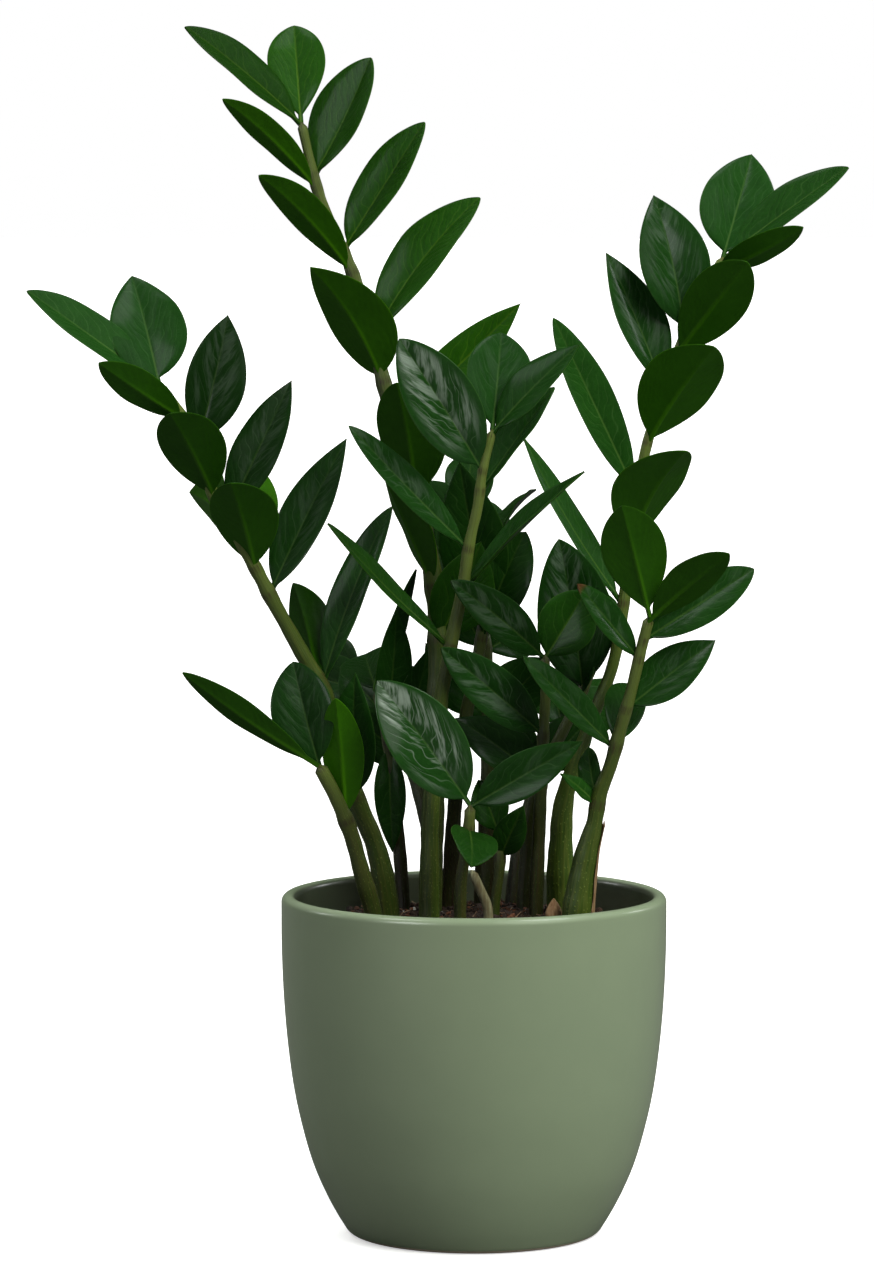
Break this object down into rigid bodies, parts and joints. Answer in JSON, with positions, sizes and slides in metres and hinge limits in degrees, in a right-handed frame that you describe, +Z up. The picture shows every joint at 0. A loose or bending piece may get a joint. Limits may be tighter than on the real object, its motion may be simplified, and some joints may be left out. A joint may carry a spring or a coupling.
{
  "type": "potted zz plant",
  "caption": "Potted ZZ plant: leaning fronds of paired oval leaflets on thick stalks, in soil in a tapered round glazed pot.",
  "frame": {"origin": "centre of the pot's flat foot, on the surface that it stands on", "axes": "+Z up; the pictured front of the plant faces -Y; +X to the right"},
  "size_m": [0.4019, 0.2457, 0.5966],
  "materials": {
    "glaze": "satin",
    "soil": "matte",
    "leaf": "satin",
    "dry": "matte"
  },
  "bodies": {
    "root": {"pot": "glaze", "soil": "soil", "frond_left": "leaf", "frond_tall": "leaf", "frond_centre": "leaf", "frond_right": "leaf", "frond_right_front": "leaf", "frond_small_front": "leaf", "frond_left_front": "leaf", "frond_centre_right": "leaf", "frond_inner_right": "leaf", "frond_inner_left": "leaf", "frond_inner_back": "leaf", "frond_back": "leaf", "frond_back_left": "leaf", "frond_back_right": "leaf", "frond_sprout": "leaf", "sheath_leaf": "dry", "stub": "dry", "bud_scale": "dry"}
  },
  "joints": []
}
